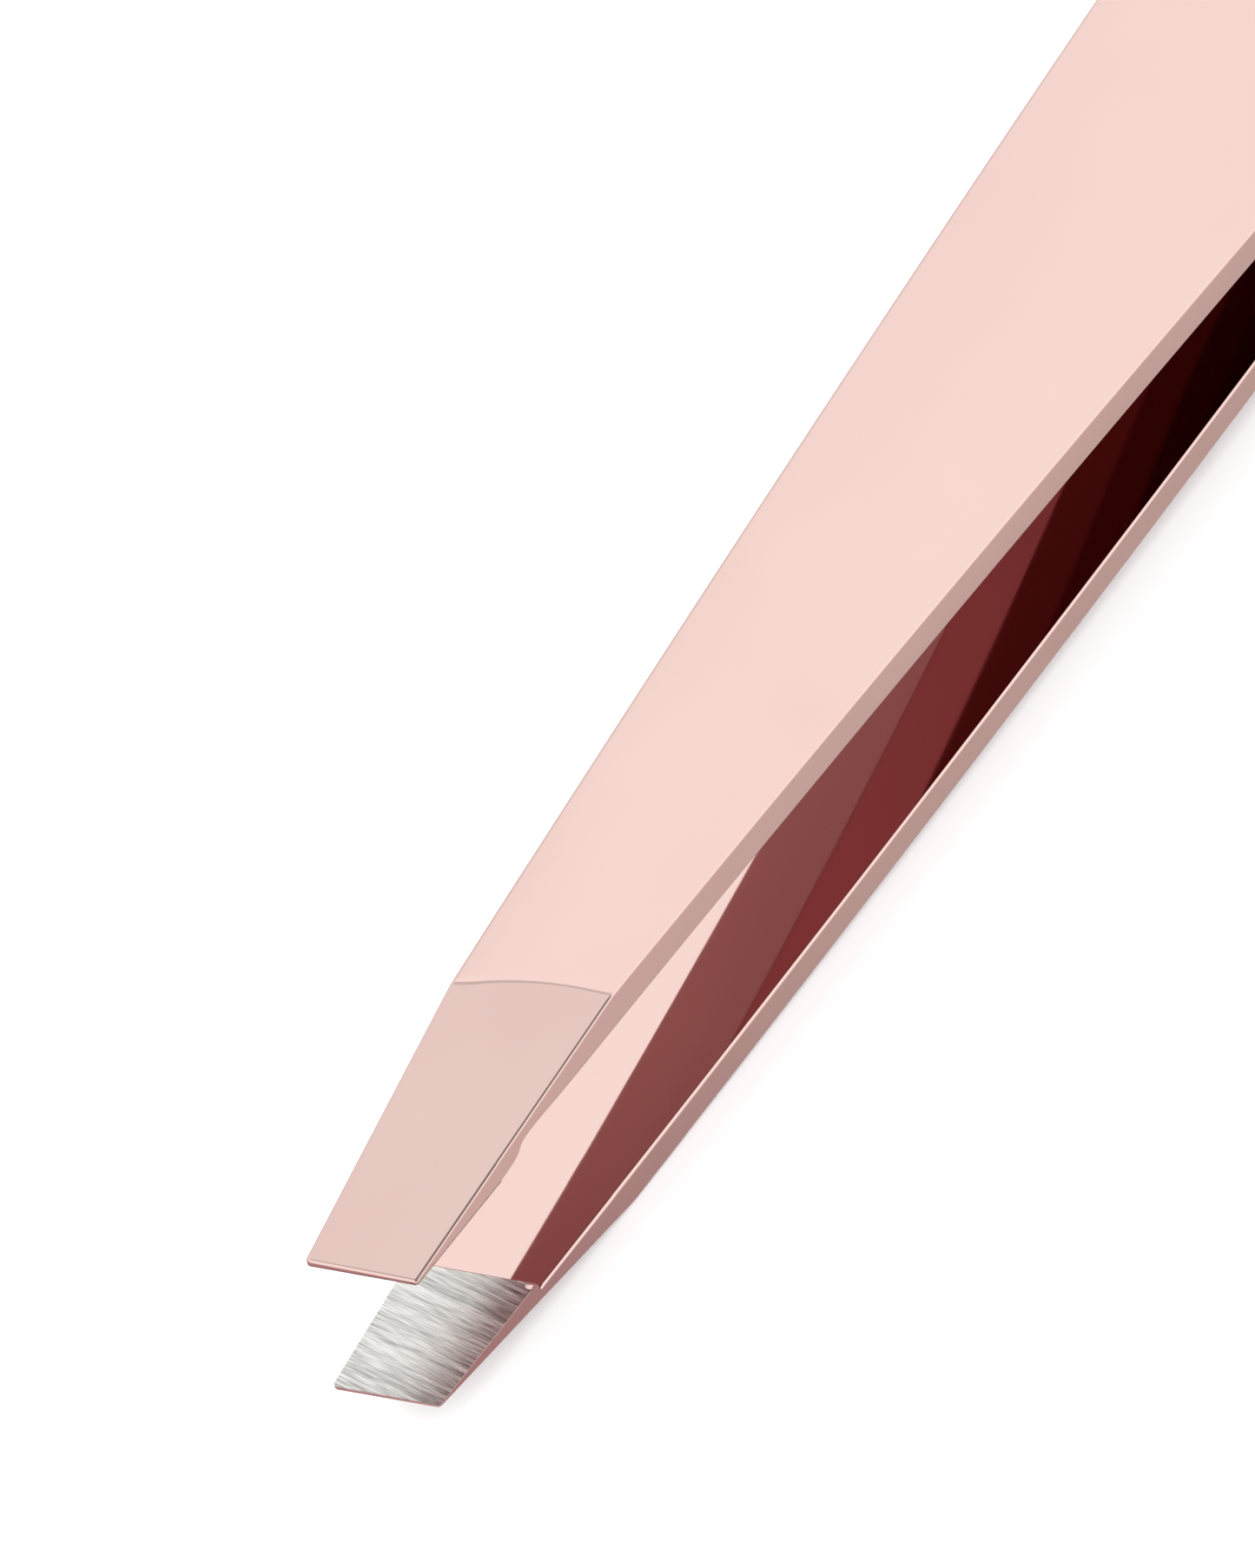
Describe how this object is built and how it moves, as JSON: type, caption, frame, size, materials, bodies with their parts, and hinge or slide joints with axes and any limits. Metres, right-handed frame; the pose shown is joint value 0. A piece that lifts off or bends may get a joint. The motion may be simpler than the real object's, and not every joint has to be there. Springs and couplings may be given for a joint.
{
  "type": "slant tweezers",
  "caption": "Slant-tip beauty tweezers: two bowed spring-steel arms welded at the heel, pink-gold plated, with bare brushed gripping lands inside the slanted tips.",
  "frame": {"origin": "middle of the tool's bounding box, on the plane midway between the arms", "axes": "+X from the tips to the heel, along the tool's length; +Y across the strips, towards the side of the tip's long corner; +Z from the lower arm to the upper arm, the direction in which the arms open"},
  "size_m": [0.095, 0.0098, 0.0112],
  "materials": {
    "plating": "mirror-polished pink-gold plating on stainless steel",
    "ground_steel": "bare stainless steel, ground across the tip with fine parallel scratches",
    "weld_metal": "resistance-welded stainless steel, sealed between the heels"
  },
  "bodies": {
    "heel": {"upper_heel": "plating", "lower_heel": "plating", "weld_nuggets": "weld_metal"},
    "upper_arm": {"upper_arm": "plating", "upper_tip_pad": "ground_steel"},
    "lower_arm": {"lower_arm": "plating", "lower_tip_pad": "ground_steel"}
  },
  "joints": [
    {"name": "upper_squeeze", "type": "hinge", "parent": "heel", "child": "upper_arm", "pos_m": [0.02348, 0, 0.00172], "axis": [0, -1, 0], "range_deg": [0, 2.74], "stiffness_Nm_per_rad": 3.1},
    {"name": "lower_squeeze", "type": "hinge", "parent": "heel", "child": "lower_arm", "pos_m": [0.02348, 0, -0.00172], "axis": [0, 1, 0], "range_deg": [0, 2.74], "stiffness_Nm_per_rad": 3.1}
  ],
  "couplings": [
    {"joint": "lower_squeeze", "follows": "upper_squeeze", "ratio": 1}
  ]
}
